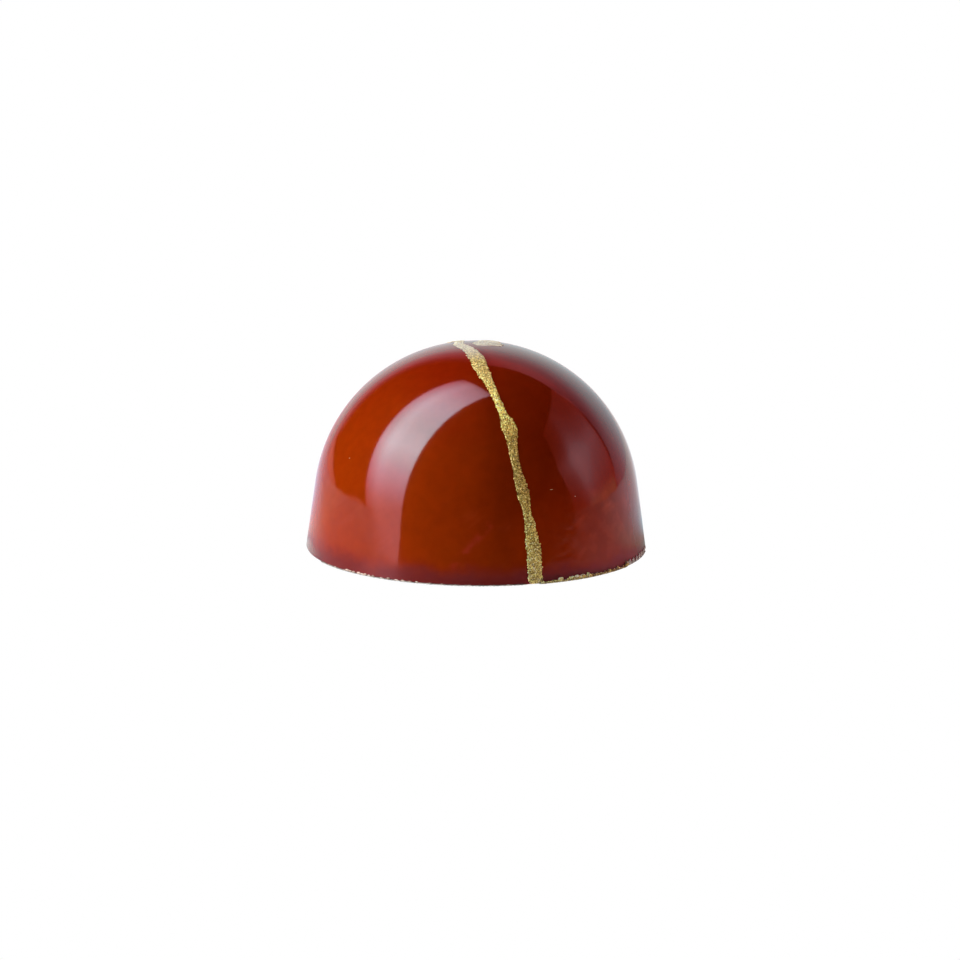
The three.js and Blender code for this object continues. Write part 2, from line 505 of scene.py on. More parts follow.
def makeGoldMaterial(name, look, toneAttribute=None):
    material, tree, shader, where = newMaterial(name)
    grain = noise(tree, where, look["grainScale"])
    if toneAttribute:
        tone = attribute(tree, toneAttribute)
    else:
        patches = calc(tree, "ADD", noise(tree, where, look["patchScale"]), grain)
        # painted contact shade along the film's edges
        inner = remap(tree, attribute(tree, "edge"), *look["edgeShadeRange"], 1.0, 0.0)
        tone = times(tree, remap(tree, patches, *look["patchRange"]), inner)
    height = calc(tree, "DIVIDE", split(tree, where)["Z"], form["height"])
    # painted light and shade, by height
    colour = vec(tree, "MULTIPLY", ramp(tree, tone, look["tones"]), ramp(tree, height, look["lightByHeight"]))
    colour = vec(tree, "MINIMUM", stretch(tree, colour, look["gain"]), look["brightest"])
    # painted reflection: the gold turns pale over the crown
    pale = remap(tree, height, *look["sheenRange"], 0.0, look["sheenMost"], smooth=False)
    middle, spread = look["roughness"], look["roughnessSpread"]
    feedAll(tree, shader, {
        "Base Color": blendColours(tree, pale, colour, look["crownPaintedSheen"]),
        "Roughness": remap(tree, grain, *look["grainRange"], middle - spread, middle + spread),
        "Metallic": look["metallic"],
        "Specular IOR Level": look["specular"],
        "Coat Weight": look["coat"],
        "Coat Roughness": look["coatRoughness"],
    })
    addBump(tree, shader, grain, look["grainDepth"])
    return material


baseFinish = {
    "dark": (0.030, 0.0115, 0.006, 1.0),
    "light": (0.062, 0.026, 0.013, 1.0),
    "toneRange": (0.1, 0.4),
    "cloudScale": 300.0,
    "scrapeScale": (140.0, 1500.0, 140.0),
    "scrapeDepth": 0.05 * mm,
    "roughness": (0.3, 0.7, 0.30, 0.48),        # of the scrapes, then of the finish
}


def makeBaseMaterial(look):
    material, tree, shader, where = newMaterial("bare chocolate")
    scrape = noise(tree, vec(tree, "MULTIPLY", where, look["scrapeScale"]), 1.0, detail=4.0)
    tone = times(tree, scrape, noise(tree, where, look["cloudScale"], detail=3.0))
    feedAll(tree, shader, {
        "Base Color": blendColours(tree, remap(tree, tone, *look["toneRange"]), look["dark"], look["light"]),
        "Roughness": remap(tree, scrape, *look["roughness"]),
    })
    addBump(tree, shader, scrape, look["scrapeDepth"])
    return material


shellMaterial = makeShellMaterial(shellFinish)
goldMaterial = makeGoldMaterial("gold paint", filmFinish)
grainMaterial = makeGoldMaterial("gold grain", goldFinish, "tone")
traceFilmMaterial = makeGoldMaterial("gold trace film", traceFilmFinish)
traceMaterial = makeGoldMaterial("gold trace", traceFinish, "tone")
fleckMaterial = makeGoldMaterial("gold fleck", fleckFinish, "tone")
lineMaterial = makeGoldMaterial("gold foot line", lineFinish, "tone")
endMaterial = makeGoldMaterial("gold foot end", endFinish)
baseMaterial = makeBaseMaterial(baseFinish)
print("materials ready")


# the shell
shellSizes = {
    "Segments": 256,
    "Rows": 160,
    "Foot Lift": 0.03 * mm,
    "Foot Drop": form["footDrop"],
    "Base Radius": form["baseRadius"],
    "Material": shellMaterial,
}
footRound = {"width": 0.14 * mm, "segments": 4, "angle": 40 * deg}


def makeShellTree():
    tree, given, result = newTree("shell", {**formSizes, **shellSizes})
    sheet = makeSheet(tree, 2 * math.pi, given["Foot Drop"], given["Segments"], given["Rows"])
    spot = split(tree, position(tree))
    drop = calc(tree, "SUBTRACT", times(tree, given["Foot Drop"], 0.5), spot["Y"])
    ring = calc(tree, "SINE", drop)
    direction = combine(
        tree,
        times(tree, ring, calc(tree, "SINE", spot["X"])),
        times(tree, ring, calc(tree, "COSINE", spot["X"]), -1.0),
        calc(tree, "COSINE", drop),
    )
    place, _ = onForm(tree, given, direction)
    dome = moveTo(tree, sheet, keepAbove(tree, place, given["Foot Lift"]))
    rim = {"Vertices": given["Segments"], "Radius": given["Base Radius"]}
    disc = put(tree, "GeometryNodeMeshCircle", rim, fill_type="NGON").outputs[0]
    disc = moveBy(tree, flip(tree, disc), up(tree, given["Foot Lift"]))
    both = put(tree, "GeometryNodeJoinGeometry", {0: dome})
    feed(tree, both.inputs[0], disc)
    endTree(tree, given, result, realize(tree, closeSeams(tree, both.outputs[0])))
    return tree


def makeShell():
    shell = grow("shell", makeShellTree(), shellSizes)
    bevel = shell.modifiers.new("foot", "BEVEL")
    bevel.width = footRound["width"]
    bevel.segments = footRound["segments"]
    bevel.limit_method = "ANGLE"
    bevel.angle_limit = footRound["angle"]
    settle(shell)
    shell.data.shade_smooth()
    return shell


shell = makeShell()
print("shell:", len(shell.data.polygons), "faces")


# gold lines, as stations of (azimuth, drop, width): degrees round from the front and down from the
# crown as seen from the dome's centre, then millimetres
mainLine = [
    (20.0, 104.2, 1.25), (19.6, 94, 1.3), (18.6, 85, 0.95), (18.0, 81.5, 0.75), (16.6, 74, 1.1),
    (15.0, 65, 0.72), (14.6, 57, 0.95), (14.2, 50.2, 1.42), (12.5, 45.4, 0.74), (10.3, 38, 0.70),
    (8.0, 32, 0.85), (3.9, 24, 1.25), (0.2, 17.8, 1.38), (-14.8, 10.0, 1.12), (-83.6, 6.5, 0.92),
    (-145, 11.2, 0.80), (-150, 22, 1.2), (-148, 34, 0.8), (-153, 46, 1.1), (-151, 58, 0.75),
    (-156, 70, 1.15), (-158, 82, 0.8), (-157, 94, 1.2), (-158, 104.2, 1.25),
]
crownLine = [
    (41, 5.3, 0.8), (54, 4.1, 2.3), (92, 3.65, 2.5), (143, 6.8, 1.8), (158, 13, 1.2), (166, 22, 0.85),
    (160, 33, 1.1), (163, 44, 0.7), (157, 56, 1.05), (159, 68, 0.75), (154, 80, 1.1), (155, 93, 0.85),
    (153, 104.2, 1.15),
]
lineSizes = {
    "Rise": 0.07 * mm,
    "Root": 0.12 * mm,
    "Along": 1000,
    "Around": 18,
    "Edge Wobble": 0.4,
    "Edge Scale": 4200.0,
    "Side Gap": 0.4 * mm,        # how far apart the two edges take their wobble
    "Lump": 0.6,
    "Lump Scale": 3200.0,
    "Edge Shade": 1.0,        # how dark the painted contact shade at the film's edges is
    "Thin From": 0.955 * form["height"],        # the paint is worn thin over the crown
    "Thin To": 0.99 * form["height"],
    "Thinnest": 0.35,
    "End Length": 0.25 * mm,
    "Floor Gap": 0.02 * mm,
    "Material": goldMaterial,
}


def stationMesh(name, stations):
    points = []
    for azimuth, drop, width in stations:
        turn, fall = azimuth * deg, drop * deg
        point = Vector((math.sin(fall) * math.sin(turn), -math.sin(fall) * math.cos(turn), math.cos(fall)))
        points.append(point * form["domeRadius"] + Vector((0, 0, form["centre"])))
    mesh = bpy.data.meshes.new(name)
    mesh.from_pydata(points, [(i, i + 1) for i in range(len(points) - 1)], [])
    half = mesh.attributes.new("halfWidth", "FLOAT", "POINT")
    half.data.foreach_set("value", [width * mm / 2 for _, _, width in stations])
    return mesh


def makeLineTree():
    tree, given, result = newTree("painted line", {**meshSocket, **formSizes, **lineSizes})
    route = put(tree, "GeometryNodeMeshToCurve", {"Mesh": given["Geometry"]}).outputs[0]
    route = put(tree, "GeometryNodeCurveSplineType", {"Curve": route}, spline_type="CATMULL_ROM").outputs[0]
    route = put(tree, "GeometryNodeResampleCurve", {"Curve": route, "Count": given["Along"]}).outputs[0]
    sheet = makeSheet(tree, 1.0, 1.0, given["Along"], given["Around"])
    spot = split(tree, position(tree))
    along = calc(tree, "ADD", spot["X"], 0.5)
    turn = times(tree, calc(tree, "ADD", spot["Y"], 0.5), 2 * math.pi)
    asked = {"Curves": route, "Value": named(tree, "halfWidth"), "Factor": along}
    sample = put(tree, "GeometryNodeSampleCurve", asked, data_type="FLOAT").outputs
    middle = vec(tree, "SUBTRACT", sample["Position"], up(tree, given["Dome Centre"]))
    outward = vec(tree, "NORMALIZE", middle)
    across = vec(tree, "NORMALIZE", vec(tree, "CROSS_PRODUCT", outward, sample["Tangent"]))

    # rounded ends
    length = put(tree, "GeometryNodeCurveLength", {"Curve": route}).outputs[0]
    toEnd = times(tree, calc(tree, "MINIMUM", along, calc(tree, "SUBTRACT", 1.0, along)), length)
    short = calc(tree, "SUBTRACT", 1.0, calc(tree, "DIVIDE", toEnd, given["End Length"], clamp=True))
    ending = calc(tree, "SQRT", calc(tree, "SUBTRACT", 1.0, times(tree, short, short)))

    # ragged edges, a different wobble on each side
    side = calc(tree, "COSINE", turn)
    beside = stretch(tree, across, times(tree, side, given["Side Gap"]))
    ragged = vec(tree, "ADD", sample["Position"], beside)
    wobble = sway(tree, ragged, given["Edge Scale"], given["Edge Wobble"], detail=3.0)
    reach = times(tree, sample["Value"], wobble, ending)
    aim = vec(tree, "ADD", middle, stretch(tree, across, times(tree, side, reach)))
    place, normal = onForm(tree, given, aim)

    # crowned and lumpy above the shell, rooted below it
    lumps = sway(tree, place, given["Lump Scale"], given["Lump"])
    upward = calc(tree, "SINE", turn)
    worn = remap(tree, split(tree, place)["Z"], given["Thin From"], given["Thin To"], 1.0, given["Thinnest"])
    above = times(tree, calc(tree, "MAXIMUM", upward, 0.0), given["Rise"], worn, lumps)
    below = times(tree, calc(tree, "MINIMUM", upward, 0.0), given["Root"])
    lift = times(tree, calc(tree, "ADD", above, below), ending)
    place = keepAbove(tree, vec(tree, "ADD", place, stretch(tree, normal, lift)), given["Floor Gap"])
    edge = times(tree, calc(tree, "ABSOLUTE", side), given["Edge Shade"])
    ribbon = moveTo(tree, store(tree, sheet, "edge", edge), place)
    endTree(tree, given, result, realize(tree, flip(tree, closeSeams(tree, ribbon))))
    return tree


# grains that stand on a painted film
grainSizes = {
    "Density": 240e6,        # tries on a square metre
    "Apart": 0.068 * mm,
    "Grain": 0.062 * mm,
    "Inset": 0.94,        # share of the film's width that they cover
    "Facing": 0.05,        # how far a face has to look outward to hold any
    "Smallest": 0.6,
    "Largest": 1.4,
    "Flatness": 0.55,
    "Tip": 0.42,        # most that a flake is tipped, in radians
    "Thin From": 0.955 * form["height"],
    "Thin To": 0.99 * form["height"],
    "Thinnest": 0.75,
    "Floor Gap": 0.02 * mm,
    "Seed": 7,
    "Tip Seed": 5,
    "Size Seed": 3,
    "Material": grainMaterial,
}


def makeGrainTree():
    inputs = {**meshSocket, "Dome Centre": form["centre"], **grainSizes}
    tree, given, result = newTree("gold grain", inputs)

    # points on the film's upper side, away from its edges
    spot = position(tree)
    outward = vec(tree, "NORMALIZE", vec(tree, "SUBTRACT", spot, up(tree, given["Dome Centre"])))
    facing = {0: vec(tree, "DOT_PRODUCT", outward, normalAt(tree)), 1: given["Facing"]}
    top = put(tree, "FunctionNodeCompare", facing, operation="GREATER_THAN").outputs[0]
    within = {0: named(tree, "edge"), 1: given["Inset"]}
    inside = put(tree, "FunctionNodeCompare", within, operation="LESS_THAN").outputs[0]
    chosen = put(tree, "FunctionNodeBooleanMath", {0: top, 1: inside}, operation="AND").outputs[0]
    spread = put(tree, "GeometryNodeDistributePointsOnFaces", {
        "Mesh": given["Geometry"], "Selection": chosen, "Distance Min": given["Apart"],
        "Density Max": given["Density"], "Seed": given["Seed"],
    }, distribute_method="POISSON").outputs
    tone = put(tree, "FunctionNodeRandomValue", data_type="FLOAT").outputs[1]
    points = store(tree, spread["Points"], "tone", tone)

    # a flattened flake, tipped and sized at random
    flake = put(tree, "GeometryNodeMeshIcoSphere", {"Radius": given["Grain"], "Subdivisions": 1}).outputs[0]
    flatter = combine(tree, 1.0, 1.0, given["Flatness"])
    flake = put(tree, "GeometryNodeTransform", {"Geometry": flake, "Scale": flatter}).outputs[0]
    back = times(tree, given["Tip"], -1.0)
    turns = {
        0: combine(tree, back, back, -math.pi),
        1: combine(tree, given["Tip"], given["Tip"], math.pi),
        "Seed": given["Tip Seed"],
    }
    tip = put(tree, "FunctionNodeRandomValue", turns, data_type="FLOAT_VECTOR").outputs[0]
    tip = put(tree, "FunctionNodeEulerToRotation", {"Euler": tip}).outputs[0]
    lie = put(tree, "FunctionNodeRotateRotation", {"Rotation": spread["Rotation"], "Rotate By": tip},
              rotation_space="LOCAL").outputs[0]
    extents = {2: given["Smallest"], 3: given["Largest"], "Seed": given["Size Seed"]}
    size = put(tree, "FunctionNodeRandomValue", extents, data_type="FLOAT").outputs[1]
    worn = remap(tree, split(tree, spot)["Z"], given["Thin From"], given["Thin To"], 1.0, given["Thinnest"])
    scattered = put(tree, "GeometryNodeInstanceOnPoints", {
        "Points": points, "Instance": flake, "Rotation": lie, "Scale": times(tree, size, worn),
    }).outputs[0]
    grains = moveTo(tree, realize(tree, scattered), keepAbove(tree, spot, given["Floor Gap"]))
    flat = put(tree, "GeometryNodeSetShadeSmooth", {"Geometry": grains, "Shade Smooth": False}).outputs[0]
    endTree(tree, given, result, flat)
    return tree


lineTree = makeLineTree()
grainTree = makeGrainTree()


def paintLine(name, stations, sizes, grains):
    film = grow(name, lineTree, sizes, stationMesh(name, stations))
    film.data.shade_smooth()
    grit = grow(name + "Grain", grainTree, grains, film.data.copy())
    print(name + ":", len(film.data.polygons), "faces,", len(grit.data.polygons), "on its grains")
    return [film, grit]


crownSizes = {**lineSizes, "Rise": 0.035 * mm, "Edge Shade": 0.85, "Thinnest": 0.8}
crownGrain = {**grainSizes, "Grain": 0.055 * mm, "Flatness": 0.4, "Tip": 0.3, "Thinnest": 1.0, "Seed": 11}
gold = paintLine("goldMainLine", mainLine, lineSizes, grainSizes)
gold += paintLine("goldCrownLine", crownLine, crownSizes, crownGrain)


# the trace along the foot, and its greyer end
footTrace = [
    (21, 104.2, 0.16), (30, 104.2, 0.20), (37, 104.15, 0.30), (45, 104.2, 0.22), (54, 104.25, 0.14),
    (60.5, 104.2, 0.15),
]
footTraceEnd = [
    (60, 104.2, 0.15), (64, 104.1, 0.24), (69, 104.2, 0.16), (74, 104.25, 0.14), (79, 104.3, 0.10),
    (84, 104.35, 0.08),
]
traceSizes = {**lineSizes, "Along": 400, "Rise": 0.16 * mm, "Material": traceFilmMaterial}
traceGrain = {**grainSizes, "Inset": 1.0, "Seed": 17, "Material": traceMaterial}
traceEndSizes = {**traceSizes, "Along": 200, "Rise": 0.03 * mm, "Material": endMaterial}
traceEndGrain = {**traceGrain, "Grain": 0.045 * mm, "Material": endMaterial}
gold += paintLine("goldFootTrace", footTrace, traceSizes, traceGrain)
gold += paintLine("goldFootTraceEnd", footTraceEnd, traceEndSizes, traceEndGrain)


# lumps of gold caught along the foot, as (azimuth, height, length, thickness): degrees, then millimetres
footLumps = [
    (22.6, 0.11, 0.25, 0.19), (24.6, 0.09, 0.18, 0.14), (26.2, 0.14, 0.28, 0.22),
    (28.9, 0.20, 0.52, 0.42), (31.4, 0.09, 0.28, 0.17), (33.2, 0.17, 0.64, 0.34),
    (35.4, 0.20, 0.62, 0.42), (37.5, 0.19, 0.60, 0.40), (40.0, 0.19, 0.52, 0.44),
    (42.0, 0.09, 0.28, 0.17), (43.8, 0.14, 0.39, 0.26), (46.0, 0.11, 0.41, 0.22),
    (48.0, 0.14, 0.34, 0.25), (50.0, 0.15, 0.54, 0.32), (52.6, 0.12, 0.30, 0.20),
    (54.8, 0.15, 0.50, 0.28), (57.8, 0.11, 0.38, 0.19), (60.6, 0.25, 0.53, 0.46),
]
footFlecks = [
    (-58.0, 0.10, 0.20, 0.08), (-54.0, 0.11, 0.22, 0.09), (-47.6, 0.16, 0.42, 0.14),
    (-46.2, 0.15, 0.40, 0.13), (-44.4, 0.14, 0.34, 0.12), (-42.0, 0.16, 0.44, 0.18),
    (-40.6, 0.13, 0.34, 0.11), (-39.2, 0.15, 0.36, 0.15), (-37.6, 0.13, 0.28, 0.10),
    (-35.9, 0.14, 0.28, 0.13), (-32.6, 0.12, 0.24, 0.10), (-29.8, 0.16, 0.34, 0.16),
    (-26.8, 0.12, 0.30, 0.10), (-24.5, 0.13, 0.34, 0.11), (-22.0, 0.12, 0.26, 0.09),
    (-19.5, 0.13, 0.26, 0.11), (-15.0, 0.11, 0.17, 0.08), (-11.0, 0.11, 0.20, 0.08),
]
footEnd = [
    (63.2, 0.27, 0.55, 0.48), (66.2, 0.25, 0.48, 0.46), (69.2, 0.26, 0.46, 0.48),
    (72.2, 0.28, 0.46, 0.50), (75.2, 0.30, 0.46, 0.50), (78.6, 0.30, 0.46, 0.46),
    (82.0, 0.29, 0.42, 0.38), (85.4, 0.27, 0.36, 0.28),
]
# and single specks higher up
straySpecks = [(-55.9, 9.40, 0.11, 0.09), (27.6, 7.85, 0.30, 0.035), (37.1, 7.05, 0.09, 0.07)]
fineLine = {        # a fine dull line below the flecks
    "pieces": 70,
    "start": -63.0,
    "step": 1.15,
    "height": 0.06,
    "length": (0.34, 0.08, 2.3),        # the middle, how far it sways and how fast
    "thickness": (0.10, 0.02, 1.7),
}
lumpSizes = {
    "Proud": 0.9,        # thickness out from the shell, beside that up the shell
    "Ragged": 0.14 * mm,
    "Ragged Scale": 5200.0,
    "Subdivisions": 4,
    "Floor Gap": 0.02 * mm,
    "Seed": 2,
    "Material": traceFilmMaterial,
}


def layFineLine(look):
    line = []
    for step in range(look["pieces"]):
        sizes = []
        for middle, reach, pace in (look["length"], look["thickness"]):
            sizes.append(middle + reach * math.sin(pace * step))
        line.append((look["start"] + look["step"] * step, look["height"], *sizes))
    return line


def lumpMesh(name, lumps):
    points = []
    turns = []
    scales = []
    for azimuth, height, length, thickness in lumps:
        turn = azimuth * deg
        rise = height * mm - form["centre"]
        if rise > form["domeRadius"] * math.sin(form["lean"]):
            out = math.sqrt(form["domeRadius"] ** 2 - rise ** 2)
        else:
            out = (form["domeRadius"] - rise * math.sin(form["lean"])) / math.cos(form["lean"])
        points.append((out * math.sin(turn), -out * math.cos(turn), height * mm))
        turns += [0.0, 0.0, turn]
        scales += [length * mm / 2, thickness * mm / 2, thickness * mm / 2]
    mesh = bpy.data.meshes.new(name)
    mesh.from_pydata(points, [], [])
    mesh.attributes.new("turn", "FLOAT_VECTOR", "POINT").data.foreach_set("vector", turns)
    mesh.attributes.new("size", "FLOAT_VECTOR", "POINT").data.foreach_set("vector", scales)
    return mesh


def makeLumpTree():
    tree, given, result = newTree("gold lump", {**meshSocket, **lumpSizes})
    turn = put(tree, "FunctionNodeEulerToRotation", {"Euler": named(tree, "turn", "FLOAT_VECTOR")}).outputs[0]
    size = vec(tree, "MULTIPLY", named(tree, "size", "FLOAT_VECTOR"), combine(tree, 1.0, given["Proud"], 1.0))
    shape = {"Radius": 1.0, "Subdivisions": given["Subdivisions"]}
    ball = put(tree, "GeometryNodeMeshIcoSphere", shape).outputs[0]
    tone = put(tree, "FunctionNodeRandomValue", {"Seed": given["Seed"]}, data_type="FLOAT").outputs[1]
    points = store(tree, given["Geometry"], "tone", tone)
    placed = put(tree, "GeometryNodeInstanceOnPoints", {
        "Points": points, "Instance": ball, "Rotation": turn, "Scale": size,
    }).outputs[0]
    spot = position(tree)
    bumps = calc(tree, "SUBTRACT", noise(tree, spot, given["Ragged Scale"]), 0.5)
    bumps = stretch(tree, normalAt(tree), times(tree, bumps, given["Ragged"]))
    ragged = keepAbove(tree, vec(tree, "ADD", spot, bumps), given["Floor Gap"])
    endTree(tree, given, result, moveTo(tree, realize(tree, placed), ragged))
    return tree


lumpTree = makeLumpTree()


def placeLumps(name, lumps, sizes):
    return grow(name, lumpTree, sizes, lumpMesh(name, lumps))


lumpGrain = {**traceGrain, "Grain": 0.06 * mm, "Apart": 0.07 * mm, "Tip": 0.6, "Seed": 13}
endSizes = {**lumpSizes, "Proud": 0.35, "Material": endMaterial}
fleckSizes = {**lumpSizes, "Ragged": 0.04 * mm, "Proud": 1.6, "Subdivisions": 3, "Material": fleckMaterial}
fineLineSizes = {**fleckSizes, "Subdivisions": 2, "Material": lineMaterial}
speckSizes = {**fleckSizes, "Proud": 0.5}
lumps = placeLumps("goldFootLumps", footLumps, lumpSizes)
lumps.data.shade_smooth()
gold += [lumps, grow("goldFootLumpGrain", grainTree, lumpGrain, lumps.data.copy())]
gold.append(placeLumps("goldFootEnd", footEnd, endSizes))
gold.append(placeLumps("goldFootFlecks", footFlecks, fleckSizes))
gold.append(placeLumps("goldFootLine", layFineLine(fineLine), fineLineSizes))
gold.append(placeLumps("goldStraySpecks", straySpecks, speckSizes))
print("foot lumps:", len(footLumps), "and", len(footFlecks), "flecks")


# the scraped chocolate that closes the base
baseSizes = {
    "Radius": 14.78 * mm,
    "Depth": 0.4 * mm,
    "Rings": 40,
    "Segments": 160,
    "Unevenness": 0.03 * mm,
    "Pit Scale": 420.0,
    "Material": baseMaterial,
}


def makeBaseTree():
    tree, given, result = newTree("base", baseSizes)
    puck = put(tree, "GeometryNodeMeshCylinder", {
        "Vertices": given["Segments"], "Fill Segments": given["Rings"],
        "Radius": given["Radius"], "Depth": given["Depth"],
    }).outputs["Mesh"]
    pits = times(tree, noise(tree, position(tree), given["Pit Scale"], detail=3.0), given["Unevenness"])
    raised = calc(tree, "ADD", pits, times(tree, given["Depth"], 0.5))
    endTree(tree, given, result, realize(tree, moveBy(tree, puck, up(tree, raised))))
    return tree


base = grow("baseChocolate", makeBaseTree(), baseSizes)
print("base:", len(base.data.polygons), "faces")


# every piece rides on the one body
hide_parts("praline")
for piece in [shell, base, *gold]:
    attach(piece, "root")


# the set: one white floor, in three sheets so that what the camera sees, what the shell mirrors and
# what lights it from below can be set apart; bearings are from straight behind, positive to the right
floorLook = {
    "half": 1.5,
    "gap": 0.05 * mm,
    "seenWhite": 1.0,
    "mirrored": {"pale": (0.50, 0.29, 0.28, 1), "grey": (0.47, 0.28, 0.28, 1), "glow": 1.0, "shade": 1.0},
    "bounced": {"pale": (0.86, 0.86, 0.86, 1), "grey": (0.83, 0.83, 0.82, 1), "glow": 0.0, "shade": 0.57},
    "fibreScale": 900.0,
    "roughness": 0.9,
    "shadeTowards": (0.45, -0.89, 0.0),        # where the paper lies in shade
    "shadeRange": (0.2, 0.9),
    "nearGlow": (0.16, 0.24, 0.30, 1),        # brighter again close behind
    "nearReach": (0.02, 0.09),
    "nearBearings": (54 * deg, 22 * deg),
    "leftGlow": (0.05, 0.32, 0.42, 1),        # and beside it at the left, up to a slanting edge
    "leftSlant": 0.6,
    "leftEdge": (-0.032, -0.014),
    "leftReach": (0.15, 0.03),
    "leftBearings": (-18 * deg, -45 * deg),
    "footGlow": (0.48, 0.60, 0.46, 1),        # and right beside the foot there
    "footGlowRight": (0.0, 0.13, 0.13, 1),
    "footReach": (0.0188, 0.0163),
    "footStart": (74 * deg, 84 * deg),
    "footStop": (108 * deg, 98 * deg),
    "rightTint": (0.50, 1.41, 1.38, 1),        # cooler close by at the right
    "rightReach": (0.060, 0.021),
    "rightBearings": (42 * deg, 60 * deg),
    "glowStops": [        # round the back, from the left to the right
        (0.06, (0.0, 0.0, 0.0)), (0.12, (0.36, 0.12, 0.00)), (0.17, (0.40, 0.12, 0.04)),
        (0.25, (0.26, 0.11, 0.16)), (0.34, (0.28, 0.30, 0.37)), (0.43, (0.30, 0.36, 0.37)),
        (0.50, (0.34, 0.42, 0.42)), (0.55, (0.36, 0.48, 0.47)), (0.63, (0.40, 0.62, 0.58)),
        (0.68, (0.36, 0.60, 0.57)), (0.77, (0.24, 0.42, 0.44)), (0.81, (0.32, 0.38, 0.43)),
        (0.86, (0.28, 0.28, 0.30)), (0.90, (0.18, 0.20, 0.18)), (0.95, (0.12, 0.17, 0.12)),
        (1.0, (0.03, 0.05, 0.02)),
    ],
}


def makeFloor(name, sheet, material):
    half = floorLook["half"]
    height = -sheet * floorLook["gap"]
    corners = [(-half, -half, height), (half, -half, height), (half, half, height), (-half, half, height)]
    mesh = bpy.data.meshes.new(name)
    mesh.from_pydata(corners, [], [(0, 1, 2, 3)])
    mesh.materials.append(material)
    floor = newPiece(name, mesh)
    return floor


def glow(name, colour, strength):
    material = bpy.data.materials.new(name)
    material.use_nodes = True
    tree = material.node_tree
    tree.nodes.clear()
    light = put(tree, "ShaderNodeEmission", {"Color": colour, "Strength": strength})
    feed(tree, put(tree, "ShaderNodeOutputMaterial").inputs["Surface"], light.outputs[0])
    return material


def paper(name, look):
    material, tree, shader, where = newMaterial(name)
    fibres = noise(tree, where, floorLook["fibreScale"], detail=3.0)
    fibres = blendColours(tree, fibres, look["grey"], look["pale"])
    shaded = vec(tree, "DOT_PRODUCT", vec(tree, "NORMALIZE", where), floorLook["shadeTowards"])
    shade = remap(tree, shaded, *floorLook["shadeRange"], 1.0, look["shade"])
    spot = split(tree, where)
    away = vec(tree, "LENGTH", where)
    bearing = calc(tree, "ARCTAN2", spot["X"], spot["Y"])
    aside = calc(tree, "ABSOLUTE", bearing)

    # the glow round the back
    right = times(tree, remap(tree, away, *floorLook["rightReach"]),
                  remap(tree, bearing, *floorLook["rightBearings"]))
    around = remap(tree, bearing, -math.pi / 2, math.pi / 2, smooth=False)
    glowing = vec(tree, "MULTIPLY", ramp(tree, around, floorLook["glowStops"]),
                  blendColours(tree, right, white, floorLook["rightTint"]))
    near = times(tree, remap(tree, away, *floorLook["nearReach"], 1.0, 0.0),
                 remap(tree, aside, *floorLook["nearBearings"]))
    glowing = vec(tree, "ADD", glowing, blendColours(tree, near, black, floorLook["nearGlow"]))

    # and beside the praline
    slanted = calc(tree, "MULTIPLY_ADD", spot["Y"], floorLook["leftSlant"], spot["X"])
    left = times(tree, remap(tree, slanted, *floorLook["leftEdge"]),
                 remap(tree, away, *floorLook["leftReach"]), remap(tree, bearing, *floorLook["leftBearings"]))
    beside = blendColours(tree, left, black, floorLook["leftGlow"])
    foot = times(tree, remap(tree, away, *floorLook["footReach"]),
                 remap(tree, aside, *floorLook["footStart"]), remap(tree, aside, *floorLook["footStop"]))
    onRight = calc(tree, "GREATER_THAN", bearing, 0.0)
    bright = blendColours(tree, onRight, floorLook["footGlow"], floorLook["footGlowRight"])
    beside = vec(tree, "ADD", beside, stretch(tree, bright, foot))
    feedAll(tree, shader, {
        "Base Color": stretch(tree, fibres, shade),
        "Roughness": floorLook["roughness"],
        "Specular IOR Level": 0.0,
        "Emission Color": vec(tree, "ADD", glowing, beside),
        "Emission Strength": look["glow"],
    })
    return material


def hideFrom(piece, *kinds):
    for kind in kinds:
        setattr(piece, "visible_" + kind, False)


hideFrom(makeFloor("seenFloor", 1, glow("white floor", white, floorLook["seenWhite"])),
         "diffuse", "glossy", "transmission", "shadow")
hideFrom(makeFloor("mirroredFloor", 2, paper("mirrored paper", floorLook["mirrored"])),
         "camera", "diffuse", "transmission", "shadow")
hideFrom(makeFloor("bouncedFloor", 3, paper("bounced paper", floorLook["bounced"])),
         "camera", "glossy", "transmission", "shadow")
print("floor laid")


# lights: a tall strip softbox that leans over from the left, and a dim panel at the right
softbox = {
    "middle": (-0.2131, -0.0156, 0.3117),
    "across": (0.658, -0.747, -0.072),
    "along": (0.488, 0.355, 0.798),
    "size": (0.2475, 0.88),
    "radiance": 12.3,
    "alongStops": [
        (0.04, (0.32, 0.10, 0.11)), (0.124, (0.40, 0.17, 0.21)), (0.180, (0.45, 0.26, 0.35)),
        (0.255, (0.53, 0.45, 0.58)), (0.310, (0.56, 0.66, 0.77)), (0.366, (0.67, 0.85, 0.96)),
        (0.413, (0.60, 0.79, 0.89)), (0.460, (0.51, 0.70, 0.79)), (0.590, (0.55, 0.60, 0.72)),
        (0.665, (0.53, 0.50, 0.60)), (0.739, (0.48, 0.39, 0.49)), (0.814, (0.43, 0.31, 0.39)),
        (0.907, (0.36, 0.25, 0.31)), (1.00, (0.25, 0.13, 0.16)),
    ],
    "acrossStops": [
        (0.00, (0.56, 0.28, 0.32)), (0.048, (0.66, 0.44, 0.49)), (0.095, (0.68, 0.53, 0.57)),
        (0.19, (0.72, 0.67, 0.69)), (0.285, (0.83, 0.86, 0.87)), (0.38, (0.92, 0.98, 0.98)),
        (0.475, (0.91, 0.98, 0.98)), (0.57, (0.86, 0.92, 0.92)), (0.71, (0.84, 0.90, 0.90)),
        (0.95, (0.83, 0.88, 0.88)), (1.00, (0.78, 0.82, 0.82)),
    ],
}
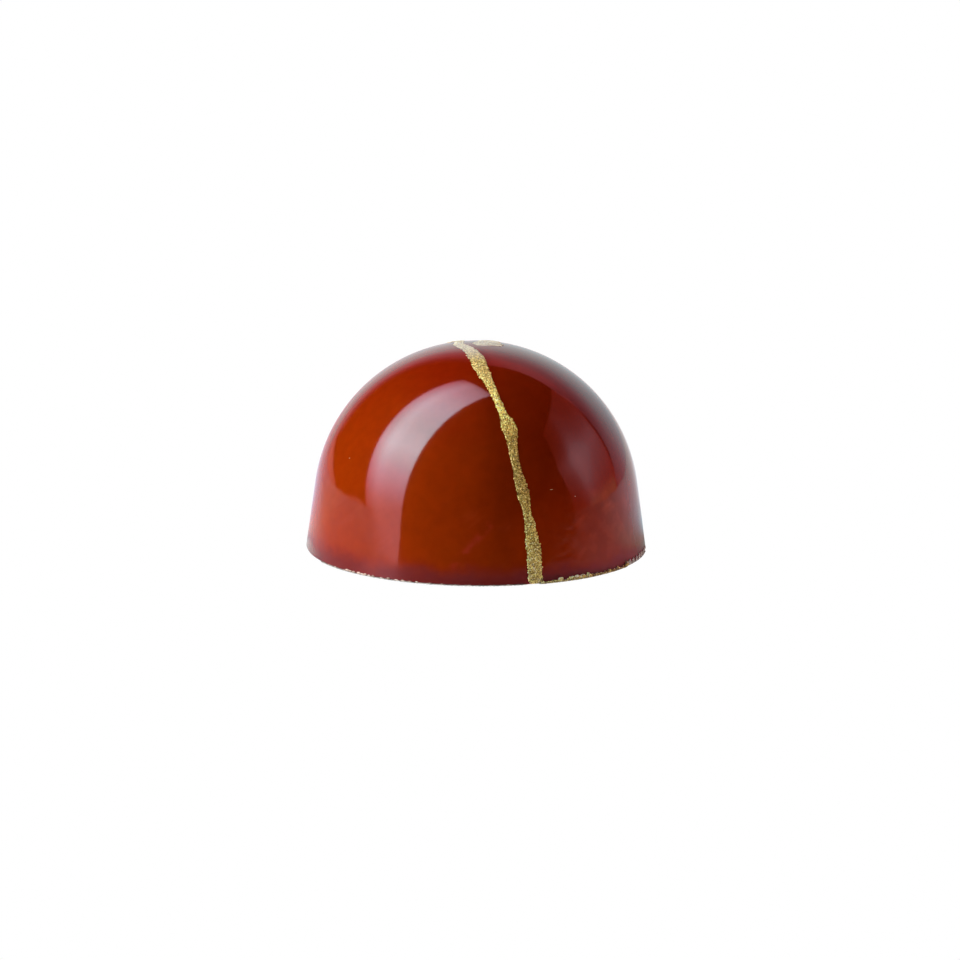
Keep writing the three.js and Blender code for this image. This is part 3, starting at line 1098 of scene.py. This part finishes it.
sidePanel = {
    "azimuth": 98 * deg,
    "elevation": 24 * deg,
    "distance": 0.40,
    "size": (0.43, 0.40),
    "radiance": 3.1,
    "tint": (1.0, 1.0, 1.0),
    "lean": 0.5,        # its near edge slants, above a share of its height
    "leanFrom": 0.6,
    "alongStops": [
        (0.00, 0.22), (0.12, 0.38), (0.23, 0.53), (0.32, 0.67), (0.42, 0.82), (0.48, 0.93), (0.53, 1.00),
        (0.57, 0.95), (0.61, 0.84), (0.67, 0.62), (0.76, 0.43), (0.84, 0.32), (1.00, 0.22),
    ],
    "acrossStops": [
        (0.00, 0.30), (0.10, 0.42), (0.18, 0.52), (0.24, 0.70), (0.28, 0.88), (0.34, 0.98), (0.42, 0.87),
        (0.48, 0.76), (0.54, 0.67), (0.61, 0.59), (0.70, 0.52), (0.80, 0.46), (0.88, 0.36), (0.905, 0.0),
    ],
    "toneStops": [
        (0.0, (0.0, 0.0, 0.0)), (0.06, (0.16, 0.012, 0.008)), (0.2, (0.23, 0.033, 0.032)),
        (0.36, (0.30, 0.082, 0.092)), (0.55, (0.42, 0.17, 0.20)), (0.63, (0.47, 0.24, 0.28)),
        (1.0, (0.78, 0.37, 0.42)),
    ],
}
lowFill = {
    "azimuth": 80 * deg,
    "elevation": -50 * deg,
    "distance": 0.40,
    "size": (0.25, 0.20),
    "radiance": 12.0,
    "tint": (1.0, 0.85, 0.8),
}


def placeLight(name, look, middle, across, along):
    light = bpy.data.lights.new(name, "AREA")
    light.shape = "RECTANGLE"
    light.size, light.size_y = look["size"]
    light.energy = look["radiance"] * math.pi * light.size * light.size_y
    lamp = bpy.data.objects.new(name, light)
    bpy.context.scene.collection.objects.link(lamp)
    across = Vector(across).normalized()
    along = Vector(along)
    along = (along - across * along.dot(across)).normalized()
    turned = Matrix((across, along, across.cross(along))).transposed().to_4x4()
    lamp.matrix_world = Matrix.Translation(middle) @ turned
    return lamp


# a light that faces the praline from an azimuth and an elevation
def aimLight(name, look):
    turn, rise = look["azimuth"], look["elevation"]
    towards = Vector((math.sin(turn) * math.cos(rise), -math.cos(turn) * math.cos(rise), math.sin(rise)))
    level = Vector((math.cos(turn), math.sin(turn), 0))
    lamp = placeLight(name, look, towards * look["distance"], level, towards.cross(level))
    lamp.data.color = look["tint"]
    return lamp


# a light that is brighter in some places than in others, and redder where it is dim
def gradeLight(light, look):
    light.use_nodes = True
    tree = light.node_tree
    spot = split(tree, put(tree, "ShaderNodeNewGeometry").outputs["Parametric"])
    sideways = spot["X"]
    if "lean" in look:
        over = calc(tree, "MAXIMUM", calc(tree, "SUBTRACT", spot["Y"], look["leanFrom"]), 0.0)
        sideways = calc(tree, "SUBTRACT", sideways, times(tree, over, look["lean"]))
    along = ramp(tree, spot["Y"], look["alongStops"])
    across = ramp(tree, sideways, look["acrossStops"])
    if "toneStops" in look:
        level = times(tree, along, across, calc(tree, "GREATER_THAN", sideways, 0.0))
        colour = ramp(tree, level, look["toneStops"])
    else:
        colour = vec(tree, "MULTIPLY", along, across)
    feed(tree, nodeOf(tree, "EMISSION").inputs["Color"], colour)


softboxLamp = placeLight("softbox", softbox, softbox["middle"], softbox["across"], softbox["along"])
gradeLight(softboxLamp.data, softbox)
gradeLight(aimLight("sidePanel", sidePanel).data, sidePanel)
hideFrom(aimLight("lowFill", lowFill), "glossy")

# a pale card behind, brightest low in the middle, with a slanting top edge at the right
backCard = {
    "depth": 0.40,
    "outline": [
        (-0.45, -0.004), (0.71, -0.004), (0.69, 0.05), (0.645, 0.10), (0.605, 0.16), (0.582, 0.22),
        (0.56, 0.29), (0.425, 0.51), (0.20, 0.54), (0.03, 0.56), (-0.45, 0.56),
    ],
    "widthRange": (-0.3, 0.7),
    "widthStops": [
        (0.30, 1.06), (0.36, 1.06), (0.415, 0.94), (0.48, 0.85), (0.55, 0.77), (0.636, 0.61),
        (0.744, 0.44), (0.9, 0.31), (1.0, 0.23),
    ],
    "heightRange": (0.0, 0.5),
    "heightStops": [
        (0.0, 0.83), (0.1, 0.88), (0.2, 0.97), (0.32, 0.99), (0.42, 0.83), (0.54, 0.62), (0.66, 0.46),
        (0.8, 0.38), (1.0, 0.36),
    ],
    "fadeSlant": 0.7,
    "fadeRange": (-0.42, -0.12),
    "fadeStops": [
        (0.0, 0.0), (0.1, 0.03), (0.27, 0.14), (0.4, 0.38), (0.57, 0.55), (0.73, 0.82), (1.0, 1.0),
    ],
    "toneStops": [
        (0.0, (0.0, 0.0, 0.0)), (0.15, (0.40, 0.11, 0.16)), (0.4, (0.53, 0.33, 0.41)),
        (0.7, (0.59, 0.69, 0.75)), (1.0, (0.76, 0.93, 0.95)),
    ],
    "crimson": (0.42, 0.0, 0.0, 1),        # added high up, right of the middle
    "crimsonSpan": (0.20, 0.22),
    "crimsonHeights": (0.34, 0.44),
    "radiance": 1.05,
}


def makeBackCard(look):
    mesh = bpy.data.meshes.new("backCard")
    corners = [(x, look["depth"], z) for x, z in look["outline"]]
    mesh.from_pydata(corners, [], [tuple(range(len(corners)))])
    material = glow("card glow", white, look["radiance"])
    tree = material.node_tree
    spot = split(tree, put(tree, "ShaderNodeTexCoord").outputs["Object"])
    slanted = calc(tree, "SUBTRACT", spot["X"], times(tree, spot["Z"], look["fadeSlant"]))
    shares = []
    for value, name in ((spot["X"], "width"), (spot["Z"], "height"), (slanted, "fade")):
        share = remap(tree, value, *look[name + "Range"], smooth=False)
        shares.append(ramp(tree, share, look[name + "Stops"]))
    tone = ramp(tree, times(tree, *shares), look["toneStops"])
    middle, reach = look["crimsonSpan"]
    off = calc(tree, "ABSOLUTE", calc(tree, "SUBTRACT", spot["X"], middle))
    upper = times(tree, remap(tree, off, reach, reach / 2), remap(tree, spot["Z"], *look["crimsonHeights"]))
    reddened = blendColours(tree, upper, black, look["crimson"])
    feed(tree, nodeOf(tree, "EMISSION").inputs["Color"], vec(tree, "ADD", tone, reddened))
    mesh.materials.append(material)
    card = newPiece("backCard", mesh)
    hideFrom(card, "camera")
    return card


makeBackCard(backCard)

# the floor turns up a little at its far left and far right, to a height that changes along it
sweeps = {
    "leftSweep": {
        "from": (-0.287, 0.41),
        "to": (-0.498, -0.044),
        "top": [(0.04, 0.076), (0.19, 0.066), (0.27, 0.055), (0.36, 0.040), (0.45, 0.026), (0.55, 0.021),
                (0.70, 0.024), (0.83, 0.035), (1.0, 0.037)],
        "fadeFrom": 0.62,
        "uneven": 0.03,
        "colour": (1.15, 0.39, 0.36, 1),
    },
    "rightSweep": {
        "from": (0.498, -0.02),
        "to": (0.42, 0.22),
        "top": [(0.0, 0.07), (1.0, 0.07)],
        "fadeFrom": 0.2,
        "uneven": 0.0,
        "colour": (0.32, 0.24, 0.13, 1),
    },
}
unevenScale = 22.0


def makeSweep(name, look):
    (x0, y0), (x1, y1) = look["from"], look["to"]
    tall = max(height for _, height in look["top"])
    mesh = bpy.data.meshes.new(name)
    mesh.from_pydata([(x0, y0, 0), (x1, y1, 0), (x1, y1, tall), (x0, y0, tall)], [], [(0, 1, 2, 3)])
    material = glow(name + " glow", look["colour"], 1.0)
    tree = material.node_tree
    where = put(tree, "ShaderNodeTexCoord").outputs["Object"]
    spot = split(tree, where)
    top = ramp(tree, remap(tree, spot["Y"], y0, y1, smooth=False), look["top"])
    uneven = calc(tree, "MULTIPLY_ADD", noise(tree, where, unevenScale), look["uneven"], spot["Z"])
    fade = remap(tree, calc(tree, "DIVIDE", uneven, top), look["fadeFrom"], 1.0, 1.0, 0.0)
    feed(tree, nodeOf(tree, "EMISSION").inputs["Strength"], fade)
    mesh.materials.append(material)
    sweep = newPiece(name, mesh)
    hideFrom(sweep, "camera", "diffuse", "transmission", "shadow")


for name, look in sweeps.items():
    makeSweep(name, look)


# no light comes from the room, and the camera sees white beyond the floor
def makeRoom():
    world = bpy.data.worlds.new("studio")
    world.use_nodes = True
    tree = world.node_tree
    seen = put(tree, "ShaderNodeLightPath").outputs["Is Camera Ray"]
    feed(tree, nodeOf(tree, "BACKGROUND").inputs["Color"], blendColours(tree, seen, black, white))
    bpy.context.scene.world = world


makeRoom()


# the camera, at the photograph's place
view = {
    "distance": 350 * mm,
    "turnHeight": 9 * mm,
    "elevation": 11.963 * deg,
    "aim": (0.310 * mm, 0.0, 5.936 * mm),
    "roll": 0.506 * deg,
    "lens": 149.18,
    "sensor": 36.0,
    "clipStart": 10 * mm,
}


def makeCamera(look):
    lens = bpy.data.cameras.new("camera")
    lens.lens = look["lens"]
    lens.sensor_width = look["sensor"]
    lens.clip_start = look["clipStart"]
    camera = bpy.data.objects.new("camera", lens)
    bpy.context.scene.collection.objects.link(camera)
    back = look["distance"] * math.cos(look["elevation"])
    camera.location = (0.0, -back, look["turnHeight"] + look["distance"] * math.sin(look["elevation"]))
    toAim = Vector(look["aim"]) - camera.location
    camera.rotation_mode = "QUATERNION"
    level = toAim.to_track_quat("-Z", "Y")
    camera.rotation_quaternion = level @ Matrix.Rotation(look["roll"], 3, "Z").to_quaternion()
    return camera


bpy.context.scene.camera = makeCamera(view)
bpy.context.scene.view_settings.view_transform = "Standard"
print("set, lights and camera ready")
